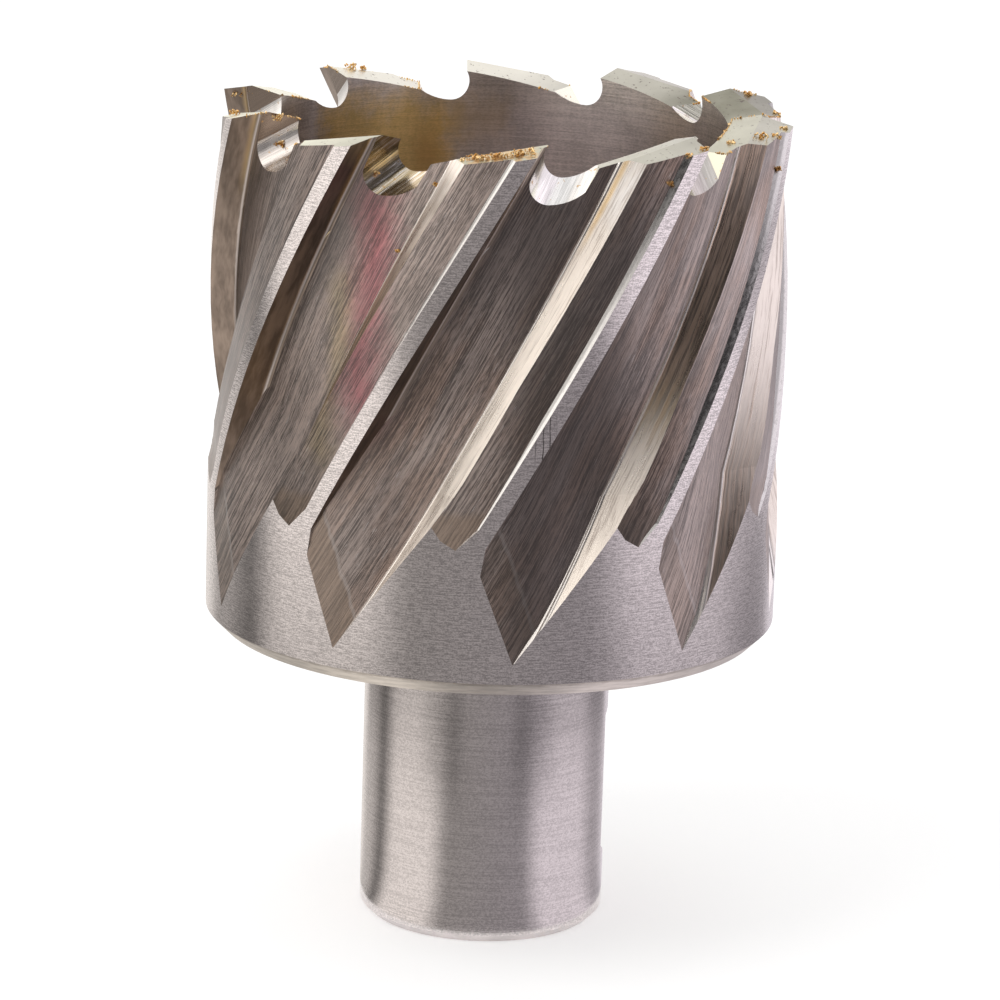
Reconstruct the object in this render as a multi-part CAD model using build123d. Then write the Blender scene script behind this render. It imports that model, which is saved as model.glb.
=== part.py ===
from build123d import *
from math import cos, degrees, pi, radians, sin, tan
import os

# Annular cutter: a one-piece hollow cutter for making wide holes in steel plate.
# It stands on the end of its shank with the teeth up. The axis is Z, and the origin is the
# middle of the shank's end face. Lengths are in millimetres and turns in degrees, counted
# counter-clockwise seen from the teeth, which is the way that the teeth cut.

# Shank, with two flats for the set screws of its holder
SHANK_DIAMETER = 19.05
SHANK_LENGTH = 23.5
SHANK_END_CHAMFER = 0.65
FLAT_DEPTH = 1.2
FLAT_LENGTH = 12.7
FLAT_RAMP_LENGTH = 0.8
FLAT_ABOVE_END = 4.5
FLAT_TURNS = (17.0, 107.0)
SEAM_TURN = -43.0
PILOT_BORE_DIAMETER = 6.4
PILOT_BORE_CHAMFER = 0.5

# Head
CUTTING_DIAMETER = 44.0
HEAD_LENGTH = 40.6
HEAD_CHAMFER = 1.1
WALL_THICKNESS = 4.8
CAVITY_DEPTH = 32.0
CAVITY_CORNER_CHAMFER = 1.0

# Flutes and lands, with widths along the rim of the cutting diameter
TEETH = 10
HELIX_ANGLE = 30.0
FLUTE_WIDTH = 9.4
HEEL_WALL_WIDTH = 1.8
RAKE_LEAD = 0.4
FLUTE_DEPTH_AT_RAKE = 2.0
FLUTE_DEPTH_AT_HEEL = 2.35
RAKE_FILLET = 0.5
MARGIN_WIDTH = 1.35
CLEARANCE_DEPTH = 0.55
CLEARANCE_STEP_WIDTH = 0.3

# Ends of the flutes and of the clearance lands: heights above the head's underside, arcs
# from the margin, and the slopes at which their floors rise to the rim there
FLUTE_END_AT_RAKE = 11.25
FLUTE_SHOULDER_HEIGHT = 9.2
FLUTE_SHOULDER_ARC = 0.85
FLUTE_POINT_HEIGHT = 2.55
FLUTE_POINT_ARC = 7.25
HEEL_TAPER_LENGTH = 12.5
FLUTE_LIP_WIDTH = 2.85
FLUTE_LIP_SLOPE = 7.5
FLUTE_RISE_SLOPE = 12.5
CLEARANCE_END_AT_HEEL = 12.35
CLEARANCE_SHOULDER_HEIGHT = 11.7
CLEARANCE_SHOULDER_ARC = 10.25
CLEARANCE_POINT_HEIGHT = 11.05
CLEARANCE_POINT_ARC = 11.75
STEP_TAPER_LENGTH = 1.6
CLEARANCE_RISE_SLOPE = 2.3

# Tooth tops: two ground faces that meet in a ridge and fall away behind the cutting edge
RIDGE_INSET = 2.44
OUTER_FACE_SLOPE = 8.0
OUTER_FACE_RELIEF = 10.5
INNER_FACE_SLOPE = 14.6
INNER_FACE_RELIEF = 8.9
TOOTH_BACK_TURN = 29.0
MARGIN_CORNER_TURN = -3.8
MARGIN_CORNER_DROP = 0.66

# Gullets: a slot through the wall ahead of each tooth, which falls and trails outwards
GULLET_DEPTH = 2.85
GULLET_TURN = 4.5
GULLET_RAKE_RADIUS = 1.45
GULLET_HEEL_RADIUS = 4.4
GULLET_HEEL_SWEEP = 37.0
GULLET_HEEL_SLOPE = 60.0
GULLET_HOOK = 25.0
GULLET_FALL = 34.0
GULLET_TRAIL = 33.5

# Turn of the first tooth from +X
FIRST_TOOTH_TURN = -80.0

# Values that follow from those above
rim = CUTTING_DIAMETER / 2
bore = rim - WALL_THICKNESS
underside = SHANK_LENGTH
top = SHANK_LENGTH + HEAD_LENGTH
cavity_floor = top - CAVITY_DEPTH
standing_top = underside + 0.75 * HEAD_LENGTH
tooth_turn = 360 / TEETH
tooth_pitch = pi * CUTTING_DIAMETER / TEETH
helix = tan(radians(HELIX_ANGLE))
beyond = 2.0


def polar(radius, turn, height=0.0):
    return Vector(radius * cos(radians(turn)), radius * sin(radians(turn)), height)


def on_rim(arc, depth=0.0):
    """Point at an arc length along the rim and a depth below it."""
    return polar(rim - depth, degrees(arc / rim))


def past(start, end, length):
    """Point past the end of a line."""
    return end + (end - start).normalized() * length


def margin_arc(height):
    """Arc from the ridge of a tooth to the leading edge of its margin, at a height."""
    corner = top - MARGIN_CORNER_DROP
    return rim * radians(MARGIN_CORNER_TURN) + helix * (height - corner)


def twisted(outline, low, high, lean):
    """Solid from an outline that moves round the rim by lean for each millimetre up."""
    face = make_face(outline).face().moved(Location((0, 0, low)))
    rise = high - low
    turn = degrees(lean * rise / rim)
    return Solid.extrude_linear_with_rotation(face, (0, 0, low), (0, 0, rise), turn)


def standing(near, far, profile, low):
    """Metal that stays where a groove ends. Its edge on the rim leans from near to far, each
    an arc from the margin and a height above the underside. Profile gives its outline there:
    arcs from that edge, towards the groove, and depths."""
    near_arc = near[0] + margin_arc(underside + near[1])
    far_arc = far[0] + margin_arc(underside + far[1])
    lean = (far_arc - near_arc) / (far[1] - near[1])
    edge = near_arc + lean * (low - underside - near[1])
    side = 1 if profile[-1][0] > 0 else -1
    points = [on_rim(edge + arc, depth) for arc, depth in profile]
    back = edge - side * 1.5 * tooth_pitch
    outer = ThreePointArc(
        on_rim(back, -beyond), on_rim((back + edge) / 2, -beyond), on_rim(edge, -beyond)
    )
    foot = on_rim(edge + profile[-1][0], WALL_THICKNESS)
    outline = Polyline(points[-1], foot, on_rim(back, WALL_THICKNESS), outer @ 0)
    outline += outer
    outline += Polyline(outer @ 1, points[0], points[1])
    outline += Spline(*points[1:]) if len(points) > 2 else []
    return twisted(outline, low, standing_top, lean)


def flute():
    """Helical groove ahead of a margin, from its rake face to its heel wall. At its end the
    floor rises to a lip, and the heel wall gets narrower with it, down to a point."""
    low = underside - beyond / 2
    start = margin_arc(low)
    rake_edge = on_rim(start)
    rake_foot = on_rim(start + RAKE_LEAD, FLUTE_DEPTH_AT_RAKE)
    heel_foot = on_rim(start + FLUTE_WIDTH - HEEL_WALL_WIDTH, FLUTE_DEPTH_AT_HEEL)
    heel_edge = on_rim(start + FLUTE_WIDTH)
    outline = FilletPolyline(
        past(rake_foot, rake_edge, beyond),
        rake_foot,
        heel_foot,
        past(heel_foot, heel_edge, 1.5 * beyond),
        radius=(0, RAKE_FILLET, 0, 0),
        close=True,
    )
    groove = twisted(outline, low, top + beyond / 2, helix)
    lip = FLUTE_LIP_WIDTH * tan(radians(FLUTE_LIP_SLOPE))
    floor = [(0, 0), (FLUTE_LIP_WIDTH, lip)]
    for part in (1, 2, 3, 4):
        run = part * FLUTE_WIDTH / 3
        floor.append((FLUTE_LIP_WIDTH + run, lip + run * tan(radians(FLUTE_RISE_SLOPE))))
    rake_end = (0, FLUTE_END_AT_RAKE)
    shoulder = (FLUTE_SHOULDER_ARC, FLUTE_SHOULDER_HEIGHT)
    point = (FLUTE_POINT_ARC, FLUTE_POINT_HEIGHT)
    heel_end = (FLUTE_WIDTH, FLUTE_POINT_HEIGHT + HEEL_TAPER_LENGTH)
    corner = [(0, 0), (FLUTE_DEPTH_AT_RAKE, 1.4 * FLUTE_DEPTH_AT_RAKE)]
    wall = [(0, 0), (-1.3 * HEEL_WALL_WIDTH, 1.3 * FLUTE_DEPTH_AT_HEEL)]
    groove -= standing(rake_end, shoulder, corner, underside - beyond)
    groove -= standing(shoulder, point, floor, underside - beyond)
    groove -= standing(point, heel_end, wall, underside - beyond)
    return groove


def clearance_land():
    """Shallow helical land behind each margin, reaching back to the flute before it."""
    low = underside + CLEARANCE_POINT_HEIGHT - beyond
    start = margin_arc(low)
    step_top = start + tooth_pitch - MARGIN_WIDTH
    step_foot = on_rim(step_top - CLEARANCE_STEP_WIDTH, CLEARANCE_DEPTH)
    step_edge = past(step_foot, on_rim(step_top), beyond)
    begin = start + FLUTE_WIDTH - HEEL_WALL_WIDTH
    middle = on_rim((begin + step_top) / 2, CLEARANCE_DEPTH)
    outline = ThreePointArc(on_rim(begin, CLEARANCE_DEPTH), middle, step_foot)
    outline += Polyline(step_foot, step_edge, on_rim(begin, -beyond), on_rim(begin, CLEARANCE_DEPTH))
    land = twisted(outline, low, top + beyond / 2, helix)
    slope = tan(radians(CLEARANCE_RISE_SLOPE))
    floor = [(run, run * slope) for run in (part * FLUTE_WIDTH / 2 for part in range(5))]
    heel_end = (FLUTE_WIDTH, CLEARANCE_END_AT_HEEL)
    shoulder = (CLEARANCE_SHOULDER_ARC, CLEARANCE_SHOULDER_HEIGHT)
    point = (CLEARANCE_POINT_ARC, CLEARANCE_POINT_HEIGHT)
    step_end = (tooth_pitch - MARGIN_WIDTH, CLEARANCE_POINT_HEIGHT + STEP_TAPER_LENGTH)
    wall = [(0, 0), (-4 * CLEARANCE_STEP_WIDTH, 4 * CLEARANCE_DEPTH)]
    land -= standing(heel_end, shoulder, floor, low - beyond)
    land -= standing(shoulder, point, floor, low - beyond)
    land -= standing(point, step_end, wall, low - beyond)
    return land


def top_face(slope, relief):
    """Space above one ground face of a tooth, from a slope along the radius and a fall
    behind the cutting edge."""
    front_turn = tooth_turn - TOOTH_BACK_TURN
    inner = bore / 3
    outer = rim + 2 * beyond
    corners = []
    for radius, turn in (
        (inner, -TOOTH_BACK_TURN),
        (outer, -TOOTH_BACK_TURN),
        (outer, front_turn),
        (inner, front_turn),
    ):
        corner = polar(radius, turn)
        rise = (corner.X - rim + RIDGE_INSET) * slope + corner.Y * tan(radians(relief))
        corners.append(corner + Vector(0, 0, top + rise))
    return Solid.extrude(Face(Wire.make_polygon(corners)), Vector(0, 0, HEAD_LENGTH / 3))


def gullet():
    """Slot through the wall: a hooked rake line, a tight arc, a wide arc that rises towards
    the next tooth, and a steep line."""
    bottom = top - GULLET_DEPTH
    hook = radians(GULLET_HOOK)
    sweep = radians(GULLET_HEEL_SWEEP)
    rake = GULLET_RAKE_RADIUS
    heel = GULLET_HEEL_RADIUS
    rake_end = Vector(-rake * cos(hook), bottom + rake + rake * sin(hook))
    rake_top = rake_end + Vector(sin(hook), cos(hook)) * HEAD_LENGTH / 5
    heel_end = Vector(heel * sin(sweep), bottom + heel - heel * cos(sweep))
    outline = Line(rake_top, rake_end)
    outline += RadiusArc(rake_end, Vector(0, bottom), -rake)
    outline += RadiusArc(Vector(0, bottom), heel_end, -heel)
    heel_run = (rake_top.Y - heel_end.Y) / tan(radians(GULLET_HEEL_SLOPE))
    outline += Polyline(heel_end, Vector(heel_end.X + heel_run, rake_top.Y), rake_top)
    inner = bore - WALL_THICKNESS
    reach = rim + beyond / 2 - inner
    outwards = Vector(1, -tan(radians(GULLET_TRAIL)), -tan(radians(GULLET_FALL)))
    plane = Plane(origin=(bore, 0, 0), x_dir=(0, 1, 0), z_dir=(1, 0, 0))
    profile = (plane * make_face(outline)).face().moved(Location(outwards * (inner - bore)))
    return Solid.extrude(profile, outwards * reach).rotate(Axis.Z, GULLET_TURN)


def shank_flat(turn):
    """Space over one flat, with a ramp at each end."""
    radius = SHANK_DIAMETER / 2
    low = FLAT_ABOVE_END
    high = FLAT_ABOVE_END + FLAT_LENGTH
    side = Polyline(
        (radius - FLAT_DEPTH, low + FLAT_RAMP_LENGTH),
        (radius + FLAT_DEPTH, low - FLAT_RAMP_LENGTH),
        (radius + FLAT_DEPTH, high + FLAT_RAMP_LENGTH),
        (radius - FLAT_DEPTH, high - FLAT_RAMP_LENGTH),
        close=True,
    )
    block = extrude(Plane.XZ * make_face(side), amount=radius, both=True)
    return block.rotate(Axis.Z, turn)


def blank():
    """Turned body: shank, head, cavity and the bore for the ejector pin. The seam of its
    round faces runs down the shank's side well away from the flats."""
    stem = SHANK_DIAMETER / 2
    pin = PILOT_BORE_DIAMETER / 2
    side = Polyline(
        (pin + PILOT_BORE_CHAMFER, 0),
        (stem - SHANK_END_CHAMFER, 0),
        (stem, SHANK_END_CHAMFER),
        (stem, underside),
        (rim - HEAD_CHAMFER, underside),
        (rim, underside + HEAD_CHAMFER),
        (rim, top + beyond / 2),
        (bore, top + beyond / 2),
        (bore, cavity_floor + CAVITY_CORNER_CHAMFER),
        (bore - CAVITY_CORNER_CHAMFER, cavity_floor),
        (pin, cavity_floor),
        (pin, PILOT_BORE_CHAMFER),
        close=True,
    )
    return revolve(Plane.XZ * make_face(side), Axis.Z).rotate(Axis.Z, SEAM_TURN)


tooth_tools = [
    flute(),
    clearance_land(),
    top_face(-tan(radians(OUTER_FACE_SLOPE)), OUTER_FACE_RELIEF),
    top_face(tan(radians(INNER_FACE_SLOPE)), INNER_FACE_RELIEF),
    gullet(),
]
turns = [FIRST_TOOTH_TURN + tooth_turn * tooth for tooth in range(TEETH)]
cutter = blank() - [shank_flat(turn) for turn in FLAT_TURNS]
for tool in tooth_tools:
    cutter -= [tool.rotate(Axis.Z, turn) for turn in turns]

os.makedirs("parts", exist_ok=True)
export_step(cutter, "parts/annular_cutter.step")
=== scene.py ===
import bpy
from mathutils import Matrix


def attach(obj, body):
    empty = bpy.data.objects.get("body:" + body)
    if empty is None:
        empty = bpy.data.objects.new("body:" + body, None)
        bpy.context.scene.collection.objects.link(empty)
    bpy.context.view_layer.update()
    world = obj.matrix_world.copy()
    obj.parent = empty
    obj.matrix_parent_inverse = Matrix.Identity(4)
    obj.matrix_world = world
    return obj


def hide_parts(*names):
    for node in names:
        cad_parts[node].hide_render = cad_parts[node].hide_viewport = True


bl_info = {
    "name": "Annular cutter",
    "version": (1, 0, 0),
    "blender": (4, 5, 0),
    "location": "View3D > Sidebar > Cutter",
    "description": "Finishes a hollow hole cutter with ground, milled and worn steel, and lights it",
    "category": "Object",
}

from math import cos, pi, radians, sin, tan

import bmesh
import bpy
import numpy as np
from bpy.props import FloatProperty, FloatVectorProperty, IntProperty, PointerProperty
from bpy.types import Operator, Panel, PropertyGroup
from mathutils import Matrix, Vector

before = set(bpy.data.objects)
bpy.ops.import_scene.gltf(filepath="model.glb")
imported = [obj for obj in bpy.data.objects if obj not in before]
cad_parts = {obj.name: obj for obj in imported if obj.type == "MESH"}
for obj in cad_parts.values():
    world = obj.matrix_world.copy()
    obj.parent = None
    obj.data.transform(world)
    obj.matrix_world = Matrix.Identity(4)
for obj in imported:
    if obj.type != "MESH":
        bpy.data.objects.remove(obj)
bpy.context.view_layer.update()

MM = 0.001

# Form of the cutter, in millimetres and degrees from the middle of the shank's end
SHANK = 9.525
SHANK_CHAMFER = 0.65
PIN_BORE = 3.2
PIN_BORE_CHAMFER = 0.5
UNDERSIDE = 23.5
HEAD = 40.6
HEAD_CHAMFER = 1.1
TOP = UNDERSIDE + HEAD
RIM = 22.0
CAVITY = 17.2
CAVITY_FLOOR = TOP - 32.0
CAVITY_CHAMFER = 1.0
TEETH = 10
TOOTH_TURN = 360 / TEETH
FIRST_TURN = -80.0
PITCH = 2 * pi * RIM / TEETH
HELIX = tan(radians(30.0))
CORNER_TURN = -3.8
CORNER_HEIGHT = TOP - 0.66
FLUTE_WIDTH = 9.4
RAKE_LEAD = 0.4
RAKE_DEPTH = 2.0
RAKE_FILLET = 0.5
HEEL_WIDTH = 1.8
HEEL_DEPTH = 2.35
HEEL_TAPER = 12.5
LIP_WIDTH = 2.85
LIP_SLOPE = tan(radians(7.5))
LIP_BLEND = 1.3
FLUTE_RISE = tan(radians(12.5))
LAND_DEPTH = 0.55
LAND_RISE = tan(radians(2.3))
MARGIN = 1.35
STEP = 0.3
STEP_TAPER = 1.6
RIDGE_INSET = 2.44
OUTER_FACE = -8.0, 10.5
INNER_FACE = 14.6, 8.9
GULLET_TURN = 4.5
GULLET_BOTTOM = TOP - 2.85
GULLET_FALL = tan(radians(34.0))
GULLET_TRAIL = tan(radians(33.5))
GULLET_RADIUS = 1.45
GULLET_HOOK = radians(25.0)
HEEL_RADIUS = 4.4
HEEL_SWEEP = radians(37.0)
HEEL_SLOPE = radians(60.0)

# Corners of a flute's and a land's end: arc from the margin and height above the underside
FLUTE_END = (0.0, 11.25), (0.85, 9.2), (7.25, 2.55)
LAND_END = (FLUTE_WIDTH, 12.35), (10.25, 11.7), (11.75, 11.05)

ZONES = """
    shank shank_flat shank_end shoulder margin clearance step flute heel_wall rake_wall
    tooth_top hook gullet gullet_back cavity
""".split()

# Clusters of crumbs that stick to the teeth: turn in degrees, then radius, height and reach
CLUSTERS = (
    (-165.0, 20.8, 63.3, 0.45),
    (-154.0, 18.5, 61.6, 0.35),
    (-152.0, 18.9, 63.6, 0.4),
    (-119.0, 19.0, 61.1, 0.3),
    (-112.0, 19.6, 55.8, 0.2),
    (-104.0, 19.7, 60.9, 0.2),
    (-98.0, 20.4, 62.9, 0.3),
    (-96.0, 20.5, 63.1, 0.45),
    (-94.0, 20.6, 63.2, 0.4),
    (-92.0, 20.7, 63.3, 0.4),
    (-90.0, 20.7, 63.4, 0.35),
    (-88.0, 20.7, 63.5, 0.4),
    (-87.0, 20.7, 63.6, 0.4),
    (-85.0, 20.6, 63.7, 0.45),
    (-56.0, 21.5, 61.3, 0.25),
    (-52.0, 21.6, 63.2, 0.3),
    (-48.0, 21.6, 63.5, 0.35),
    (-26.0, 18.6, 62.7, 0.3),
    (-22.0, 20.4, 63.1, 0.6),
    (-19.0, 21.3, 63.1, 0.35),
    (-14.0, 21.4, 63.4, 0.3),
    (-20.0, 21.7, 60.8, 0.2),
    (13.0, 21.3, 62.9, 0.3),
    (24.0, 20.5, 63.8, 0.3),
    (125.0, 19.8, 63.6, 0.2),
    (129.0, 19.6, 63.8, 0.45),
    (168.0, 21.1, 63.2, 0.4),
)

# Degrees that a zone's facing is turned by: its real faces are hollow or relieved
LEAN = {"clearance": -16.0, "flute": -6.5, "heel_wall": 12.0, "step": 20.0}

# Millimetres that a face may lie off its surface, and what facing another way adds to them
REACH = 0.02
TILT_COST = 0.3


# Zones of the cutter's surface


def on_rim(arc, depth=0.0):
    """Point of a section at an arc along the rim and a depth below it."""
    turn = arc / RIM
    return np.array(((RIM - depth) * cos(turn), (RIM - depth) * sin(turn)))


def unit(ways):
    return ways / np.linalg.norm(ways, axis=-1, keepdims=True)


def beside(points, start, along):
    """Distance of points from a line."""
    gap = points - start
    return np.abs(gap[..., 0] * along[1] - gap[..., 1] * along[0])


def turned(points, turns):
    """Points turned about the cutter's axis."""
    c, s = np.cos(turns), np.sin(turns)
    x, y = points[..., 0], points[..., 1]
    return np.stack((x * c - y * s, x * s + y * c), -1)


def helical_edge(near, far):
    """Arc at height 0 and its lean, for an edge between two points of the unrolled rim, each
    an arc from the margin and a height above the underside."""
    arcs = [arc + margin_arc(UNDERSIDE + height) for arc, height in (near, far)]
    lean = (arcs[1] - arcs[0]) / (far[1] - near[1])
    return arcs[0] - lean * (UNDERSIDE + near[1]), lean


def margin_arc(height):
    """Arc from a tooth's ridge to the leading edge of its margin, at a height."""
    return RIM * radians(CORNER_TURN) + HELIX * (height - CORNER_HEIGHT)


class Turned:
    """Round surface from a line of radii and heights."""

    def __init__(self, zone, start, end):
        self.zone = zone
        self.start = np.array(start)
        self.along = unit(np.array(end) - start)

    def off(self, places):
        half = np.stack((np.hypot(places[..., 0], places[..., 1]), places[..., 2]), -1)
        return beside(half, self.start, self.along)

    def facing(self, places):
        radius = np.hypot(places[..., 0], places[..., 1])[..., None]
        out = places[..., :2] / radius * self.along[1]
        return np.concatenate((out, np.full_like(radius, -self.along[0])), -1)


class Swept:
    """Helical surface: a line of the section that turns as it rises."""

    def __init__(self, zone, start, end, edge):
        self.zone = zone
        self.start, self.end = start, end
        self.base, self.lean = edge

    def section(self, places):
        turns = (self.base + self.lean * places[..., 2]) / RIM
        return turned(places[..., :2], -turns), turns

    def line(self, flat):
        """Distance from the line and its direction, beside points of the section."""
        along = unit(self.end - self.start)
        return beside(flat, self.start, along), along

    def off(self, places):
        return self.line(self.section(places)[0])[0]

    def facing(self, places):
        flat, turns = self.section(places)
        along = turned(np.broadcast_to(self.line(flat)[1], flat.shape), turns)
        rise = self.lean / RIM * (along * places[..., :2]).sum(-1)
        return np.stack((along[..., 1], -along[..., 0], rise), -1)


class Rounded(Swept):
    """Helical fillet between two lines that meet at a corner."""

    def __init__(self, zone, before, corner, after, radius, edge):
        super().__init__(zone, before, after, edge)
        first, second = unit(before - corner), unit(after - corner)
        half = np.arccos((first * second).sum()) / 2
        self.centre = corner + unit(first + second) * radius / sin(half)
        self.radius = radius

    def line(self, flat):
        gap = flat - self.centre
        reach = np.hypot(gap[..., 0], gap[..., 1])
        along = np.stack((-gap[..., 1], gap[..., 0]), -1) / reach[..., None]
        return np.abs(reach - self.radius), along


class Rising(Swept):
    """Helical floor that gets shallower or deeper along the rim."""

    def __init__(self, zone, start, depth, slope, edge):
        super().__init__(zone, None, None, edge)
        self.first, self.depth, self.slope = start, depth, slope

    def line(self, flat):
        radius = np.hypot(flat[..., 0], flat[..., 1])
        arc = np.arctan2(flat[..., 1], flat[..., 0]) * RIM
        gap = RIM - radius - self.depth - (arc - self.first) * self.slope
        out = flat / radius[..., None]
        side = np.stack((-out[..., 1], out[..., 0]), -1)
        return np.abs(gap), unit(side * (radius / RIM)[..., None] - out * self.slope)


class Blending(Rising):
    """Rising floor whose facing eases in from that of the floor it leaves."""

    def __init__(self, zone, start, depth, slope, edge, floor, ease):
        super().__init__(zone, start, depth, slope, edge)
        self.floor, self.ease = floor, ease

    def facing(self, places):
        rise = unit(super().facing(places))
        floor = unit(self.floor.facing(places))
        floor = floor * np.sign((rise * floor).sum(-1, keepdims=True))
        share = np.clip(self.floor.off(places) / self.ease, 0, 1)[..., None]
        share = share * share * (3 - 2 * share)
        return rise * share + floor * (1 - share)


class Slotted:
    """Side of a gullet: a line or an arc that is swept outwards, down and back."""

    def __init__(self, zone, start, end, centre=None):
        self.zone = zone
        self.start, self.end = start, end
        self.along = unit(end - start)
        self.centre = centre

    def profile(self, places):
        """Points in the gullet's outline: across the slot and up."""
        flat = turned(places[..., :2], np.full(places.shape[:-1], -radians(GULLET_TURN)))
        out = flat[..., 0] - CAVITY
        return np.stack((flat[..., 1] + out * GULLET_TRAIL, places[..., 2] + out * GULLET_FALL), -1)

    def off(self, places):
        spot = self.profile(places)
        if self.centre is None:
            return beside(spot, self.start, self.along)
        low, high = sorted((self.start[0], self.end[0]))
        beyond = np.maximum(np.maximum(low - spot[..., 0], spot[..., 0] - high) - 0.05, 0)
        reach = np.linalg.norm(spot - self.centre, axis=-1)
        return np.abs(reach - np.hypot(*(self.start - self.centre))) + beyond

    def facing(self, places):
        spot = self.profile(places)
        if self.centre is None:
            side = np.broadcast_to((self.along[1], -self.along[0]), spot.shape)
        else:
            side = spot - self.centre
        across, up = side[..., 0], side[..., 1]
        out = across * GULLET_TRAIL + up * GULLET_FALL
        flat = turned(np.stack((out, across), -1), np.full(out.shape, radians(GULLET_TURN)))
        return np.concatenate((flat, up[..., None]), -1)


class Ground:
    """Flat face of a tooth that meets the other one in a ridge."""

    zone = "tooth_top"

    def __init__(self, slope, relief):
        self.way = unit(np.array((-tan(radians(slope)), -tan(radians(relief)), 1.0)))

    def off(self, places):
        return np.abs(((places - (RIM - RIDGE_INSET, 0.0, TOP)) * self.way).sum(-1))

    def facing(self, places):
        return np.broadcast_to(self.way, places.shape)


def cutter_surfaces():
    """Surfaces of the cutter, those of a tooth in the tooth's own place."""
    corner = helical_edge((0.0, 0.0), (0.0, HEAD))
    rake_edge, rake_foot = on_rim(0.0), on_rim(RAKE_LEAD, RAKE_DEPTH)
    heel_foot, heel_edge = on_rim(FLUTE_WIDTH - HEEL_WIDTH, HEEL_DEPTH), on_rim(FLUTE_WIDTH)
    floor = Swept("flute", rake_foot, heel_foot, corner)
    flute_corner, flute_shoulder, flute_tip = FLUTE_END
    lip_edge = helical_edge(flute_shoulder, flute_tip)
    lip = LIP_WIDTH * LIP_SLOPE
    heel_taper = helical_edge(flute_tip, (FLUTE_WIDTH, flute_tip[1] + HEEL_TAPER))
    land_corner, land_shoulder, land_tip = LAND_END
    land_edges = helical_edge(land_corner, land_shoulder), helical_edge(land_shoulder, land_tip)
    step = PITCH - MARGIN
    step_taper = helical_edge(land_tip, (step, land_tip[1] + STEP_TAPER))
    tight = np.array((0.0, GULLET_BOTTOM + GULLET_RADIUS))
    wide = np.array((0.0, GULLET_BOTTOM + HEEL_RADIUS))
    lowest = np.array((0.0, GULLET_BOTTOM))
    hook_end = tight + GULLET_RADIUS * np.array((-cos(GULLET_HOOK), sin(GULLET_HOOK)))
    heel_end = wide + HEEL_RADIUS * np.array((sin(HEEL_SWEEP), -cos(HEEL_SWEEP)))
    return (
        Turned("shank_end", (0.0, 0.0), (SHANK, 0.0)),
        Turned("shank_end", (SHANK - SHANK_CHAMFER, 0.0), (SHANK, SHANK_CHAMFER)),
        Turned("shank_end", (PIN_BORE + PIN_BORE_CHAMFER, 0.0), (PIN_BORE, PIN_BORE_CHAMFER)),
        Turned("shank", (SHANK, 0.0), (SHANK, UNDERSIDE)),
        Turned("shoulder", (SHANK, UNDERSIDE), (RIM, UNDERSIDE)),
        Turned("shoulder", (RIM - HEAD_CHAMFER, UNDERSIDE), (RIM, UNDERSIDE + HEAD_CHAMFER)),
        Turned("margin", (RIM, 0.0), (RIM, TOP)),
        Turned("cavity", (CAVITY, 0.0), (CAVITY, TOP)),
        Turned("cavity", (CAVITY, CAVITY_FLOOR + CAVITY_CHAMFER), (CAVITY - CAVITY_CHAMFER, CAVITY_FLOOR)),
        Turned("cavity", (PIN_BORE, CAVITY_FLOOR), (CAVITY, CAVITY_FLOOR)),
        Turned("cavity", (PIN_BORE, 0.0), (PIN_BORE, TOP)),
        Turned("clearance", (RIM - LAND_DEPTH, 0.0), (RIM - LAND_DEPTH, TOP)),
        floor,
        Swept("rake_wall", rake_edge, rake_foot, corner),
        Rounded("rake_wall", rake_edge, rake_foot, heel_foot, RAKE_FILLET, corner),
        Swept("heel_wall", heel_foot, heel_edge, corner),
        Swept("step", on_rim(step - STEP, LAND_DEPTH), on_rim(step), corner),
        Swept("flute", on_rim(0.0), on_rim(2.0, 2.8), helical_edge(flute_corner, flute_shoulder)),
        Swept("flute", on_rim(0.0), on_rim(LIP_WIDTH, lip), lip_edge),
        Blending("flute", LIP_WIDTH, lip, FLUTE_RISE, lip_edge, floor, LIP_BLEND),
        Swept("heel_wall", on_rim(0.0), on_rim(-1.3 * HEEL_WIDTH, 1.3 * HEEL_DEPTH), heel_taper),
        *(Swept("clearance", on_rim(0.0), on_rim(4.7, 4.7 * LAND_RISE), edge) for edge in land_edges),
        *(Rising("clearance", 0.0, 0.0, LAND_RISE, edge) for edge in land_edges),
        Swept("step", on_rim(0.0), on_rim(-4 * STEP, 4 * LAND_DEPTH), step_taper),
        Ground(*OUTER_FACE),
        Ground(*INNER_FACE),
        Slotted("hook", hook_end, hook_end + (sin(GULLET_HOOK), cos(GULLET_HOOK))),
        Slotted("gullet", hook_end, lowest, tight),
        Slotted("gullet", lowest, heel_end, wide),
        Slotted("gullet_back", heel_end, heel_end + (cos(HEEL_SLOPE), sin(HEEL_SLOPE))),
    )


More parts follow.
